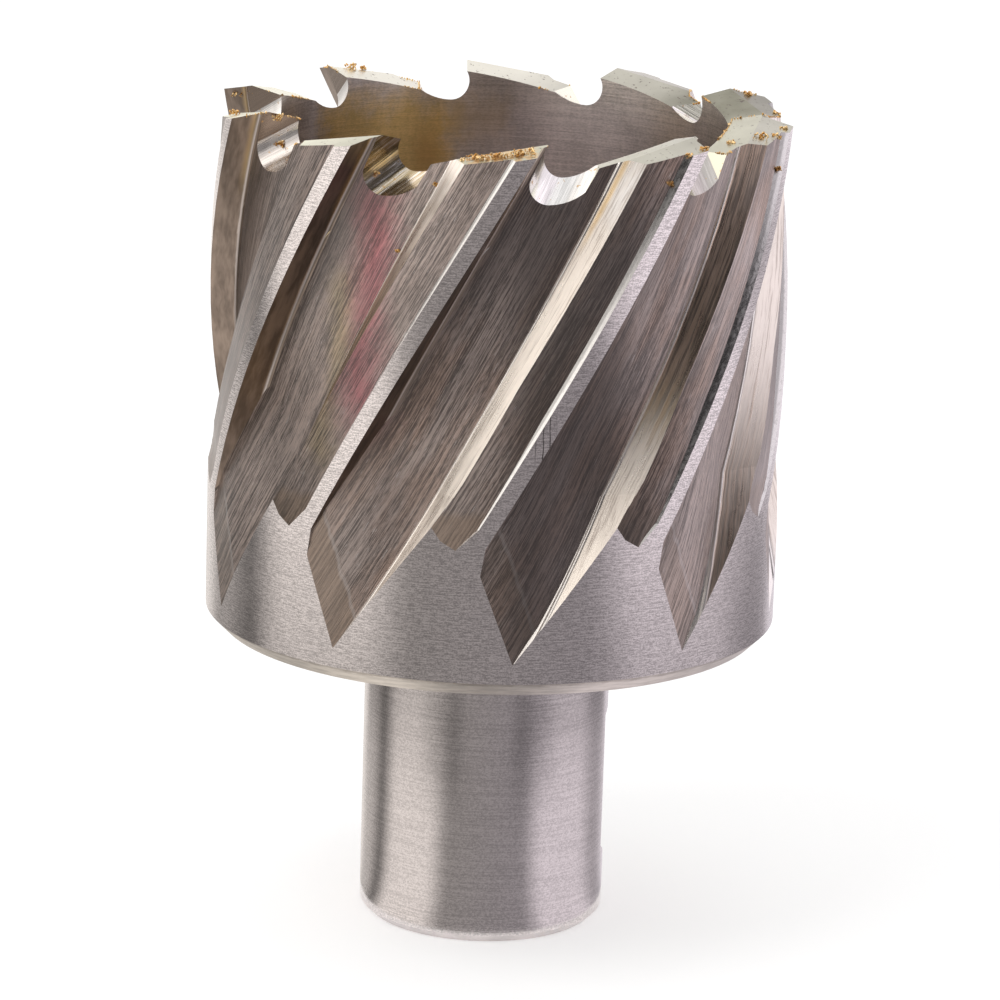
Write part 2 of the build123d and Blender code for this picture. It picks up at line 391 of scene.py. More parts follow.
def sort_surface(places, facing):
    """Zone of every face, the facing of its corners and their places across a gullet, from
    the corners' places in millimetres and the faces' own facings."""
    centre = places.mean(1)
    turn = np.arctan2(centre[:, 1], centre[:, 0]) - margin_arc(centre[:, 2]) / RIM
    tooth = np.floor((turn - radians(FIRST_TURN)) / radians(TOOTH_TURN))
    best = np.full(len(places), REACH)
    zone = np.array(["gullet"] * len(places), dtype=object)
    corners = np.repeat(facing[:, None], 3, 1)
    slot = np.zeros(places.shape[:2])
    for side in (0, -1, 1):
        turns = radians(FIRST_TURN) + (tooth + side) * radians(TOOTH_TURN)
        flat = turned(places[..., :2], -turns[:, None])
        local = np.concatenate((flat, places[..., 2:]), -1)
        for surface in cutter_surfaces():
            way = unit(surface.facing(local))
            world = np.concatenate((turned(way[..., :2], turns[:, None]), way[..., 2:]), -1)
            match = (world.mean(1) * facing).sum(-1)
            off = surface.off(local).max(1) + TILT_COST * (1 - np.abs(match))
            closer = off < best - 1e-5
            best[closer] = off[closer]
            zone[closer] = surface.zone
            if surface.zone == "clearance":
                world = places * (1, 1, 0)
            lean = radians(LEAN.get(surface.zone, 0.0))
            shown = np.concatenate((turned(world[..., :2], lean), world[..., 2:]), -1)
            corners[closer] = (shown * np.sign(match)[:, None, None])[closer]
            if isinstance(surface, Slotted):
                slot[closer] = surface.profile(local)[closer][..., 0]
    side_on = (zone == "gullet") & (centre[:, 2] < UNDERSIDE)
    zone[side_on] = "shank_flat"
    return zone, corners, slot


# The finished cutter


def read(items, name, kind=float):
    """Values of a mesh's items, three in a row."""
    values = np.zeros(len(items) * 3, dtype=kind)
    items.foreach_get(name, values)
    return values.reshape(-1, 3)


def finished_mesh(node, name):
    """Merged copy of the cutter's mesh, with a zone for every face and smooth corners."""
    mesh = node.data.copy()
    mesh.name = name
    mesh.materials.clear()
    work = bmesh.new()
    work.from_mesh(mesh)
    bmesh.ops.remove_doubles(work, verts=work.verts, dist=1e-7)
    bmesh.ops.dissolve_degenerate(work, edges=work.edges, dist=1e-7)
    bmesh.ops.triangulate(work, faces=work.faces)
    work.to_mesh(mesh)
    work.free()
    faces, facing = read(mesh.polygons, "vertices", int), read(mesh.polygons, "normal")
    places = read(mesh.vertices, "co")[faces] / MM
    zone, corners, slot = sort_surface(places, facing)
    mesh.polygons.foreach_set("material_index", [ZONES.index(name) for name in zone])
    mesh.polygons.foreach_set("use_smooth", [True] * len(zone))
    mesh.normals_split_custom_set(unit(corners).reshape(-1, 3).tolist())
    chart = mesh.uv_layers.new(name="Slot")
    radii = np.hypot(places[..., 0], places[..., 1])
    chart.data.foreach_set("uv", np.stack((slot, radii), -1).astype(np.float32).ravel())
    mesh.update()
    return mesh


# Node trees


class Field:
    """Value in a node tree, with plain arithmetic."""

    def __init__(self, recipe, socket):
        self.recipe = recipe
        self.socket = socket

    def __add__(self, other):
        return self.recipe.math("ADD", self, other)

    def __sub__(self, other):
        return self.recipe.math("SUBTRACT", self, other)

    def __rsub__(self, other):
        return self.recipe.math("SUBTRACT", other, self)

    def __mul__(self, other):
        return self.recipe.math("MULTIPLY", self, other)

    def __truediv__(self, other):
        return self.recipe.math("DIVIDE", self, other)

    def max(self, other):
        return self.recipe.math("MAXIMUM", self, other)

    def ease(self, low, high, to_low=0.0, to_high=1.0):
        """Smooth step from one value to another."""
        inputs = {"Value": self, "From Min": low, "From Max": high, "To Min": to_low, "To Max": to_high}
        return self.recipe.out("ShaderNodeMapRange", inputs, "Result", interpolation_type="SMOOTHSTEP")

    def band(self, low, high, soft):
        """1 between two values and 0 outside them, with soft edges."""
        return self.ease(low - soft, low + soft) - self.ease(high - soft, high + soft)


class Recipe:
    """Short way to write a node tree."""

    def __init__(self, tree):
        self.tree = tree

    def feed(self, socket, value):
        if isinstance(value, Field):
            value = value.socket
        if isinstance(value, bpy.types.NodeSocket):
            self.tree.links.new(value, socket)
        elif socket.type == "RGBA":
            socket.default_value = (*value[:3], 1.0)
        else:
            socket.default_value = value

    def node(self, kind, inputs=(), **settings):
        node = self.tree.nodes.new(kind)
        for name, value in settings.items():
            setattr(node, name, value)
        for name, value in dict(inputs).items():
            self.feed(node.inputs[name], value)
        return node

    def out(self, kind, inputs=(), output=0, **settings):
        """One output of a new node."""
        return Field(self, self.node(kind, inputs, **settings).outputs[output])

    def math(self, operation, *values, clamp=False):
        return self.out("ShaderNodeMath", enumerate(values), operation=operation, use_clamp=clamp)

    def mix(self, share, first, second, blend="MIX"):
        """Two colours in one."""
        inputs = {0: share, 6: first, 7: second}
        return self.out("ShaderNodeMix", inputs, 2, data_type="RGBA", blend_type=blend)

    def coords(self):
        return self.out("ShaderNodeTexCoord", output="Object")

    def spot(self, *parts):
        return self.out("ShaderNodeCombineXYZ", enumerate(parts))

    def parts(self, spot):
        return [Field(self, part) for part in self.node("ShaderNodeSeparateXYZ", {"Vector": spot}).outputs]

    def noise(self, place, scale=1.0, detail=2.0, rough=0.5, seed=0.0):
        inputs = {"Vector": place, "W": seed, "Scale": scale, "Detail": detail, "Roughness": rough}
        return self.out("ShaderNodeTexNoise", inputs, "Fac", noise_dimensions="4D")

    def seen(self):
        """1 for what the camera sees, directly, in a mirror or through glass."""
        path = self.node("ShaderNodeLightPath").outputs
        direct = self.math("MAXIMUM", path["Is Camera Ray"], path["Is Glossy Ray"])
        return direct.max(path["Is Transmission Ray"])

    def surface(self, shader):
        self.node("ShaderNodeOutputMaterial", {"Surface": shader.outputs[0]})


def new_material(name):
    """Material with an empty node tree."""
    material = bpy.data.materials.new(name)
    material.use_nodes = True
    material.node_tree.nodes.clear()
    return material


def times(colour, share):
    return tuple(share * part for part in colour)


def place_group():
    """Node group that gives a point of the cutter in its own terms, in millimetres: radius,
    height above the underside, arc round the rim, across a tooth from its margin, number of
    the tooth, turn in degrees, and the ways along the helix and round the axis."""
    tree = bpy.data.node_groups.new("Place on the cutter", "ShaderNodeTree")
    recipe = Recipe(tree)
    x, y, z = (part / MM for part in recipe.parts(recipe.coords()))
    height = z - UNDERSIDE
    turn = recipe.math("ARCTAN2", y, x)
    arc = turn * RIM
    start = margin_arc(UNDERSIDE) + RIM * radians(FIRST_TURN)
    lead = arc - start - height * HELIX
    tooth = recipe.math("FLOOR", lead / PITCH) + 0.5
    lean = HELIX / RIM
    numbers = {
        "Radius": recipe.math("SQRT", x * x + y * y),
        "Height": height,
        "Arc": arc,
        "Across": recipe.math("FLOORED_MODULO", lead, PITCH),
        "Tooth": recipe.math("FLOORED_MODULO", tooth, TEETH),
        "Turn": recipe.math("DEGREES", turn),
    }
    ways = {"Helix": recipe.spot(y * -lean, x * lean, 1.0), "Ring": recipe.spot(y * -1.0, x, 0.0)}
    for kind, values in (("NodeSocketFloat", numbers), ("NodeSocketVector", ways)):
        for item in values:
            tree.interface.new_socket(item, in_out="OUTPUT", socket_type=kind)
    recipe.node("NodeGroupOutput", {**numbers, **ways})
    return tree


# Steel of each zone


class Steel(Recipe):
    """One steel finish of the cutter, while its node tree is written."""

    def __init__(self, name, group):
        self.material = new_material(name)
        super().__init__(self.material.node_tree)
        places = [Field(self, socket) for socket in self.node("ShaderNodeGroup", node_tree=group).outputs]
        self.radius, self.height, self.arc, self.across, self.tooth, self.turn, self.helix, self.ring = places
        self.shader = self.node("ShaderNodeBsdfPrincipled", {"Metallic": 1.0})
        self.surface(self.shader)
        self.colour = None

    def streaks(self, across, along, seed=0.0, detail=3.0, rough=0.65):
        """Noise drawn out along the helix, with this many waves in a millimetre."""
        where = self.spot(self.across * across, self.height * along, self.tooth)
        return self.noise(where, 1.0, detail, rough, seed)

    def rings(self, around, up, seed=0.0, detail=3.0, rough=0.6, stray=0.0):
        """Noise drawn out round the axis, with this many waves in a millimetre."""
        height = self.height
        if stray:
            height = height + self.noise(self.spot(self.arc * 0.6, height * 0.6), 1.0, 1.0) * stray
        where = self.spot(self.arc * around, height * up, self.radius)
        return self.noise(where, 1.0, detail, rough, seed)

    def on_tooth(self, tooth):
        """1 on one tooth and 0 elsewhere."""
        gap = self.math("ABSOLUTE", self.tooth - (tooth + 0.5) % TEETH)
        return self.math("LESS_THAN", gap, 0.25)

    def patch(self, turn, wide, low, high, soft=1.5, ragged=2.0):
        """1 on a ragged patch between two heights round a turn, with soft edges."""
        stray = self.noise(self.coords(), 350.0, 4.0, 0.7, turn) - 0.5
        across = (self.turn + stray * (3 * ragged)).band(turn - wide, turn + wide, 2 * soft)
        return across * (self.height + stray * ragged).band(low, high, soft)

    def base(self, share, first, second):
        """Ground colour, mixed of two."""
        self.colour = self.mix(share, first, second)

    def paint(self, share, colour, blend="MIX"):
        """Another colour on top of those before."""
        self.colour = self.mix(share, self.colour, colour, blend)

    def film(self, weight, bend, rough):
        """Thin clear film on the steel."""
        for name, value in (("Weight", weight), ("IOR", bend), ("Roughness", rough)):
            self.shader.inputs["Coat " + name].default_value = value

    def finish(self, rough, relief, depth, way=None, drawn=0.0):
        """Finished material, with relief so many millimetres deep and drawn out one way."""
        self.feed(self.shader.inputs["Base Color"], self.colour)
        self.feed(self.shader.inputs["Roughness"], rough)
        if way is not None:
            self.feed(self.shader.inputs["Tangent"], way)
            self.shader.inputs["Anisotropic"].default_value = drawn
            self.shader.inputs["Anisotropic Rotation"].default_value = 0.25
        bump = self.node("ShaderNodeBump", {"Height": relief, "Distance": depth * MM})
        self.feed(self.shader.inputs["Normal"], bump.outputs[0])
        return self.material


def ground_steel(steel, finish):
    """Margins and head band: ground round and round, pale, with short fine marks."""
    dashes = steel.rings(1.8, 9.0, 1.0, 2.0, 0.6, 0.06)
    lines = steel.rings(0.4, 12.0, 2.0, 2.0, 0.5)
    grain = steel.rings(7.0, 10.0, 7.0, 1.0)
    marks = dashes * 0.4 + lines * 0.25 + grain * 0.35
    steel.base(marks.ease(0.4, 0.6), times(finish.ground, 0.62), times(finish.ground, 1.2))
    side = steel.arc + steel.rings(0.5, 0.3, 8.0, 2.0) * 0.6
    scratches = steel.math("SINE", side * 12.0).ease(0.85, 0.97)
    scratches = scratches * steel.patch(-80.3, 1.8, 17.0, 23.0, 0.4, 1.0)
    steel.paint(scratches * 0.9, times(finish.brown, 0.15))
    rough = steel.rings(0.3, 0.12, 3.0).ease(0.3, 0.7, 0.16, 0.24)
    return steel.finish(rough, marks, 0.005, steel.ring, 0.5)


def shank_steel(steel, finish):
    """Shank: ground round and round, finer than the head."""
    lines = steel.rings(0.1, 11.0, 4.0, 3.0, 0.6)
    grain = steel.rings(3.0, 9.0, 9.0, 2.0, 0.6)
    marks = grain * 0.6 + lines * 0.4
    steel.base(marks.ease(0.38, 0.62), times(finish.ground, 0.76), times(finish.ground, 1.14))
    steel.paint(steel.rings(0.3, 0.5, 5.0) * 0.1, times(finish.ground, 0.6))
    return steel.finish(lines.ease(0.3, 0.7, 0.15, 0.21), lines, 0.003, steel.ring, 0.4)


def milled_steel(steel, finish, seed, slope, end):
    """Floors of the flutes and clearance lands: milled and hardened, dark, with bright
    streaks along the helix, a warm lip where they end, a few heat stains, a painted pink
    reflection, paler painted reflections, a painted highlight along the lip and painted shade."""
    fine = steel.streaks(11.0, 0.16, seed, 2.0, 0.6)
    grain = steel.streaks(12.0, 1.5, seed + 1, 2.0, 0.6)
    broad = steel.streaks(0.9, 0.1, seed + 2, 2.0, 0.5)
    share = (fine * 0.48 + grain * 0.36 + broad * 0.16).ease(0.41, 0.59)
    steel.base(share, times(finish.milled, 0.32), times(finish.milled, 1.44))
    # Painted reflection: flutes and lands round the right and the back are painted paler
    steel.paint(steel.turn.band(-42.0, 100.0, 14.0) * 0.24, finish.ground)
    if not slope:
        # Painted reflection: the lands of teeth -2 and 2 are painted paler where they catch the white
        # surroundings
        pale = steel.on_tooth(-2) * steel.height.ease(16.0, 34.0, 0.7, 0.0) + steel.on_tooth(2) * 0.3
        steel.paint(pale, times(finish.ground, 0.8))
    flecks = steel.streaks(8.0, 0.8, seed + 3, 2.0, 0.6).ease(0.66, 0.7)
    steel.paint(flecks * 0.7, finish.ground)
    brown = steel.streaks(0.4, 0.12, seed + 4, 3.0, 0.6).ease(0.4, 0.66)
    brown = brown * ((steel.on_tooth(0) + steel.on_tooth(1)) * 0.6 + 0.2)
    steel.paint(brown, (1.0, 0.86, 0.76), "MULTIPLY")
    rise = steel.height + steel.across * slope - end + broad * 0.8
    left = steel.on_tooth(0) + steel.on_tooth(-1) * steel.across.ease(9.0, 9.2)
    lip = rise.ease(2.6, 3.6, 1.0, 0.0) * (left * 0.55 + 0.25)
    steel.paint(lip, steel.mix(share, times(finish.lip, 0.5), finish.lip))
    if slope:
        # Painted highlight: a paler line where the lip meets the rise
        steel.paint(rise.band(2.95, 3.25, 0.12) * 0.3, finish.ground)
    # Painted reflection: a pink patch across the flutes and lands at the front-left
    steel.paint(steel.patch(-117.5, 4.4, 19.5, 38.0, 2.4, 3.0) * 0.9, finish.pink, "MULTIPLY")
    steel.paint(steel.patch(-126.0, 2.6, 16.0, 30.0, 1.5, 3.0) * 0.55, finish.olive, "MULTIPLY")
    # Painted shade along the feet of both walls and round the front of the turn; the same mask also darkens
    # low on tooth 0, high towards the rake side and in broad random clouds
    feet = steel.across.band(0.5, 1.4, 0.5).max(steel.across.band(7.1, 7.5, 0.3))
    shadow = (feet * 0.4).max(steel.turn.band(-88.0, -60.0, 6.0) * 0.68)
    shadow = shadow.max(steel.on_tooth(0) * steel.height.ease(14.0, 22.0, 0.32, 0.0))
    shadow = shadow.max(steel.streaks(0.5, 0.08, seed + 5, 2.0, 0.5).ease(0.42, 0.62, 0.0, 0.25))
    shadow = shadow.max(steel.height.ease(20.0, 34.0) * steel.across.ease(1.0, 6.5, 0.6, 0.0))
    steel.paint(shadow, times(finish.milled, 0.2))
    steel.film(0.5, 1.8, 0.25)
    rough = grain.ease(0.35, 0.65, 0.3, 0.42)
    return steel.finish(rough, fine + grain * 0.4, 0.03, steel.helix, 0.8)


def heel_steel(steel, finish):
    """Walls at the back of the flutes: pale and finely lined, with a painted highlight at the foot
    that is golden at the top, and painted shade on teeth 1, -1 and 2."""
    fine = steel.streaks(11.0, 0.2, 20.0, 3.0, 0.7)
    broad = steel.streaks(2.0, 0.3, 21.0, 3.0, 0.6)
    ends = steel.height.ease(5.0, 9.0, 0.8, 0.0) + steel.height.ease(33.0, 37.0, 0.0, 0.8)
    pale = steel.mix(ends, finish.heel, finish.step)
    steel.base(broad.ease(0.36, 0.64), times(finish.heel, 0.8), pale)
    steel.paint(fine.ease(0.52, 0.62) * 0.5, times(finish.brown, 0.9))
    # Brown colour of the painted shade on the heel walls
    brown_shade = steel.mix(fine.ease(0.42, 0.58), times(finish.lip, 0.4), times(finish.lip, 1.2))
    # Painted shade: high on tooth 1's wall and low on tooth -1's, tinted olive towards the bottom
    dark = steel.on_tooth(1) * (steel.height + broad * 4.0).ease(19.0, 26.0)
    dark = dark + steel.on_tooth(-1) * steel.height.ease(28.0, 35.0, 1.1, 0.3)
    olive = steel.mix(steel.height.ease(20.0, 24.0, 0.8, 0.0), brown_shade, finish.olive, "MULTIPLY")
    steel.paint(dark * 0.85, olive)
    # Painted shade low on tooth 2's wall
    steel.paint(steel.on_tooth(2) * steel.height.ease(9.0, 25.0, 1.0, 0.0) * 0.7, brown_shade)
    # Painted highlight: a bright line along the foot of the wall
    steel.paint(steel.across.ease(7.72, 7.8, 1.0, 0.0) * 0.7, finish.step)
    gold = steel.across.band(7.85, 8.15, 0.12) * steel.height.ease(32.0, 36.0) * steel.on_tooth(0)
    steel.paint(gold * 0.8, finish.straw)
    relief = fine + steel.across.band(7.64, 7.78, 0.06) * 3.0
    return steel.finish(broad.ease(0.35, 0.65, 0.26, 0.38), relief, 0.02, steel.helix, 0.7)


def rake_steel(steel, finish):
    """Walls at the front of the teeth: brown, with a painted highlight along the fillet where the floor
    begins.
    """
    fine = steel.streaks(6.0, 0.3, 30.0, 3.0, 0.6)
    steel.base(fine.ease(0.35, 0.65), times(finish.brown, 0.8), times(finish.brown, 1.5))
    # Painted highlight along the fillet at the foot of the wall
    line = (steel.across + fine * 0.1).band(0.46, 0.58, 0.05)
    steel.paint(line * 0.85, finish.fillet_highlight)
    gold = steel.across.band(0.3, 0.42, 0.05) * steel.height.ease(33.0, 37.0)
    steel.paint(gold * 0.7, finish.straw)
    return steel.finish(0.28, fine, 0.01, steel.helix, 0.6)


def tooth_steel(steel, finish):
    """Ground tops of the teeth: pale, with painted grey shade round part of the turn, and small dents."""
    coords = steel.coords()
    cloud = steel.noise(coords, 300.0, 3.0, 0.55, 2.0)
    # Painted shade: tops round most of the turn are painted halfway to the shaded colour, nearly fully on the
    # right, with random clouds
    grey = steel.turn.band(-130.0, 80.0, 12.0) * 0.5 + steel.turn.band(8.0, 46.0, 8.0) * 0.45
    grey = steel.math("ADD", grey, (cloud - 0.5) * 0.5, clamp=True)
    steel.base(grey, finish.top, finish.green)
    speckle = steel.noise(coords, 1700.0, 2.0, 0.6, 5.0)
    gilt = steel.patch(-90.0, 7.0, 38.5, 40.4, 0.3, 0.5) * speckle.ease(0.42, 0.52)
    steel.paint(gilt * 0.8, finish.straw)
    dents = steel.noise(coords, 2400.0, 3.0, 0.6, 4.0).ease(0.61, 0.67)
    steel.paint(dents * 0.85, times(finish.brown, 0.5))
    return steel.finish(0.32, steel.noise(coords, 5000.0, 2.0, 0.6) - dents * 2.0, 0.012)


def gullet_steel(steel, finish, bare, lined=1.0):
    """Sides of the gullets: cut along the slot, with lines that way."""
    slot, out, _ = steel.parts(steel.out("ShaderNodeUVMap", uv_map="Slot"))
    lines = steel.noise(steel.spot(slot * 5.0, out * 0.25, steel.tooth), 1.0, 3.0, 0.7, 40.0)
    steel.base(lines.ease(0.42, 0.62, 1.0, 0.0) * (0.5 * lined), bare, times(bare, 0.45))
    dull = steel.on_tooth(-1) * 0.8 + steel.on_tooth(-2) * 0.3 + steel.on_tooth(1) * 0.4
    heated = steel.mix(lines.ease(0.4, 0.62), times(finish.tan, 0.5), finish.heel)
    steel.paint(dull, steel.mix(steel.on_tooth(-1), times(finish.lip, 0.5), heated))
    spots = steel.noise(steel.coords(), 1900.0, 2.0, 0.5, 6.0).ease(0.66, 0.7)
    steel.paint(spots * 0.7, finish.rust)
    if lined:
        gold = slot.ease(-1.3, -0.8, 1.0, 0.0) * out.ease(19.6, 20.8)
        steel.paint(gold * 0.7, finish.straw)
    return steel.finish(lines.ease(0.3, 0.7, 0.12, 0.3), lines, 0.02)


def cavity_steel(steel, finish):
    """Inside of the cutter: turned, brown and grey, with heat stains."""
    rings = steel.rings(0.12, 6.0, 50.0, 4.0, 0.7)
    cross = steel.rings(2.5, 0.6, 51.0, 2.0, 0.6)
    cloud = steel.rings(0.25, 0.25, 52.0, 3.0, 0.6)
    share = (rings * 0.5 + cloud * 0.38 + cross * 0.12).ease(0.36, 0.64)
    speck = steel.rings(3.0, 9.0, 53.0, 2.0, 0.6).ease(0.4, 0.6, -0.2, 0.2)
    share = steel.math("ADD", share, speck, clamp=True)
    steel.base(share, times(finish.bore, 0.66), times(finish.bore, 1.16))
    golden = steel.mix(share, times(finish.tan, 0.7), finish.tan)
    steel.paint(steel.patch(125.0, 21.0, 27.5, 38.0, 2.0, 5.0) * 0.95, golden)
    steel.paint(steel.patch(97.0, 8.0, 34.5, 38.0, 1.6, 4.0) * 0.6, times(finish.tan, 0.8))
    steel.paint(steel.patch(111.0, 4.0, 31.5, 35.0, 1.6, 4.0) * 0.6, finish.rust)
    grey = steel.mix(share, finish.violet, times(finish.violet, 1.5))
    steel.paint(steel.patch(64.0, 38.0, 24.0, 38.0, 3.0, 4.0) * 0.55, grey)
    return steel.finish(0.3, rings, 0.01, steel.ring, 0.5)


def shoulder_steel(steel, finish):
    """Underside of the head and its chamfer, which has a rough dark edge."""
    rings = steel.rings(0.5, 5.0, 60.0, 3.0, 0.6)
    steel.base(rings.ease(0.35, 0.65), times(finish.heel, 0.75), times(finish.heel, 0.97))
    wear = steel.rings(0.8, 0.8, 61.0, 4.0, 0.7)
    edge = (steel.height - wear * 0.7).ease(0.45, 0.7)
    steel.paint(edge * 0.45, times(finish.brown, 0.8))
    rust = steel.rings(1.1, 1.1, 62.0, 3.0, 0.6).ease(0.68, 0.74)
    steel.paint(rust * 0.6, finish.rust)
    return steel.finish(0.36, wear, 0.03)


def step_steel(steel, finish):
    """Steps behind the margins: painted shade at the foot and high on tooth 0, and a painted highlight along
    the edge that is brighter round the left.
    """
    grain = steel.streaks(9.0, 3.0, 70.0, 2.0, 0.6)
    # Painted highlight along the outer edge, with painted shade towards the foot
    edge = (steel.radius + grain * 0.12).ease(21.7, 21.86) * grain.ease(0.3, 0.5, 0.5, 1.0)
    # Painted shade high up on tooth 0's step
    high = steel.on_tooth(0) * steel.height.ease(24.0, 34.0, 0.0, 0.6)
    # The highlight is painted brighter on the steps round the left
    pale = steel.mix(steel.turn.ease(-128.0, -120.0), finish.step, times(finish.step, 0.72))
    steel.base(edge * (1.0 - high), times(finish.step, 0.4), pale)
    return steel.finish(grain.ease(0.35, 0.65, 0.2, 0.35), grain, 0.01)


def plain_steel(steel, finish, low=0.2, high=0.35):
    """Ground steel with fine even grain."""
    coords = steel.coords()
    grain = steel.noise(coords, 4000.0, 4.0, 0.7)
    cloud = steel.noise(coords, 400.0, 3.0, 0.6)
    steel.base((grain * 0.5 + cloud * 0.5).ease(0.3, 0.7), times(finish.ground, 0.75), finish.ground)
    return steel.finish(grain.ease(0.3, 0.7, low, high), grain, 0.01)


def steel_finishes(finish):
    """One material for each zone of the cutter."""
    group = place_group()
    makers = {
        "shank": ("Shank steel", shank_steel),
        "shank_flat": ("Flat steel", plain_steel),
        "shank_end": ("End steel", plain_steel, 0.3, 0.45),
        "shoulder": ("Shoulder steel", shoulder_steel),
        "margin": ("Ground steel", ground_steel),
        "clearance": ("Clearance steel", milled_steel, 10.0, 0.0, 11.0),
        "step": ("Step steel", step_steel),
        "flute": ("Flute steel", milled_steel, 0.0, 1.04, 10.1),
        "heel_wall": ("Heel steel", heel_steel),
        "rake_wall": ("Rake steel", rake_steel),
        "tooth_top": ("Tooth top steel", tooth_steel),
        "hook": ("Hook steel", gullet_steel, finish.brown, 0.0),
        "gullet": ("Gullet steel", gullet_steel, finish.gullet),
        "gullet_back": ("Gullet back steel", gullet_steel, finish.top, 0.0),
        "cavity": ("Cavity steel", cavity_steel),
    }
    materials = []
    for zone in ZONES:
        name, maker, *values = makers[zone]
        materials.append(maker(Steel(name, group), finish, *values))
    return materials


def copper_swarf(settings):
    """Gold and copper coloured crumbs of swarf."""
    material = new_material("Swarf")
    recipe = Recipe(material.node_tree)
    patch = recipe.noise(recipe.coords(), 1500.0, 3.0, 0.6).ease(0.4, 0.6)
    colour = recipe.mix(patch, settings.gold, settings.pale)
    look = {"Base Color": colour, "Metallic": 1.0, "Roughness": 0.3}
    recipe.surface(recipe.node("ShaderNodeBsdfPrincipled", look))
    return material


# Settings that a user would change


def colour_setting(name, description, *value):
    return FloatVectorProperty(
        name=name, description=description, default=value, subtype="COLOR", min=0.0, max=1.0
    )


def length_setting(name, description, value, low, high):
    """Setting of a length given in millimetres."""
    lengths = {"default": value * MM, "min": low * MM, "max": high * MM}
    return FloatProperty(name=name, description=description, unit="LENGTH", precision=5, **lengths)


class CutterFinish(PropertyGroup):
    ground: colour_setting("Ground steel", "Margins, head band and shank", 0.82, 0.765, 0.755)
    milled: colour_setting("Milled steel", "Flutes and clearance lands", 0.44, 0.365, 0.335)
    heel: colour_setting("Heel steel", "Walls at the back of the flutes", 0.95, 0.88, 0.8)
    step: colour_setting("Step steel", "Steps behind the margins", 0.97, 0.95, 0.93)
    top: colour_setting("Tooth tops", "Ground faces of the teeth", 0.92, 0.93, 0.78)
    # Colour of the painted shade on the tooth tops
    green: colour_setting("Shaded tooth tops", "Painted shade on the ground faces of the teeth", 0.27, 0.27, 0.2)
    gullet: colour_setting("Gullets", "Bright sides of the gullets", 0.97, 0.95, 0.93)
    bore: colour_setting("Cavity", "Cavity and bore", 0.74, 0.68, 0.64)
    brown: colour_setting("Brown steel", "Browned walls", 0.3, 0.24, 0.2)
    straw: colour_setting("Straw stain", "Lightest heat stains", 0.75, 0.55, 0.3)
    # Colour of the highlight painted along the rake walls' fillets
    fillet_highlight: colour_setting("Fillet highlight", "Highlight painted along the fillet at the foot of a rake wall", 0.98, 0.88, 0.83)
    # Tint of a painted pink reflection on the flutes and lands
    pink: colour_setting("Pink reflection", "Tint of the painted pink reflection", 1.0, 0.42, 0.52)
    # Olive also tints the painted shade on the heel walls
    olive: colour_setting("Olive stain", "Tint of the olive heat stain", 0.95, 0.9, 0.5)
    tan: colour_setting("Golden stain", "Golden stains in the cavity", 0.92, 0.66, 0.27)
    rust: colour_setting("Rust", "Rust stains", 0.6, 0.36, 0.14)
    violet: colour_setting("Grey stain", "Grey stains in the cavity", 0.62, 0.56, 0.58)
    lip: colour_setting("Lips", "Lips where the flutes and lands end", 0.5, 0.37, 0.28)


class SwarfSettings(PropertyGroup):
    size: length_setting("Crumb size", "Length of an average crumb", 0.22, 0.02, 0.6)
    count: IntProperty(name="Crumbs", description="Crumbs in a cluster", default=26, min=1, max=200)
    spacing: length_setting("Spacing", "Distance between crumbs along an edge", 0.22, 0.05, 5.0)
    seed: IntProperty(name="Seed", description="Choice of the crumbs' places", default=3, min=0)
    gold: colour_setting("Gold", "Darker colour of the crumbs", 0.62, 0.33, 0.09)
    pale: colour_setting("Pale gold", "Lighter colour of the crumbs", 0.9, 0.68, 0.36)


class StudioSettings(PropertyGroup):
    floor: colour_setting("Floor", "Colour of the floor", 0.9, 0.9, 0.9)
    left: FloatProperty(
        name="Left light", description="Extra light of the tent's left side", default=0.6, min=0.0
    )
    right: FloatProperty(
        name="Right light", description="Extra light of the tent's right side", default=0.25, min=0.0
    )
    lamp: FloatProperty(
        name="Lamp", description="Power of the soft lamp", default=0.5, min=0.0, unit="POWER"
    )
    lens: FloatProperty(
        name="Lens", description="Focal length of the camera", default=160.64, min=20.0, unit="CAMERA"
    )


# Pieces


def link(name, data):
    item = bpy.data.objects.new(name, data)
    bpy.context.scene.collection.objects.link(item)
    return item


class CUTTER_OT_dress(Operator):
    """Put the finished steel on the cutter"""

    bl_idname = "cutter.dress"
    bl_label = "Dress the cutter"

    def execute(self, context):
        mesh = finished_mesh(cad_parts["annular_cutter"], "finished_cutter")
        for material in steel_finishes(context.scene.cutter_finish):
            mesh.materials.append(material)
        piece = link("finished_cutter", mesh)
        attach(piece, "root")
        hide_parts("annular_cutter")
        return {"FINISHED"}


def tooth_edges(mesh):
    """Edge lines of the tooth tops."""
    top = ZONES.index("tooth_top")
    zones_at = {}
    for polygon in mesh.polygons:
        for key in polygon.edge_keys:
            zones_at.setdefault(key, []).append(polygon.material_index)
    keys = [key for key, zones in zones_at.items() if top in zones and len(set(zones)) > 1]
    used = sorted({corner for key in keys for corner in key})
    place = {corner: index for index, corner in enumerate(used)}
    spots = [mesh.vertices[corner].co for corner in used]
    lines = bpy.data.meshes.new("tooth_edges")
    lines.from_pydata(spots, [(place[a], place[b]) for a, b in keys], [])
    return lines


def cluster_points():
    """Middles of the clusters of crumbs, with the reach of each."""
    turns, radii, heights, reaches = np.array(CLUSTERS).T
    spots = np.stack((radii * np.cos(np.radians(turns)), radii * np.sin(np.radians(turns)), heights), -1)
    points = bpy.data.meshes.new("cluster_points")
    points.from_pydata((spots * MM).tolist(), [], [])
    points.attributes.new("reach", "FLOAT", "POINT").data.foreach_set("value", reaches * MM)
    return points


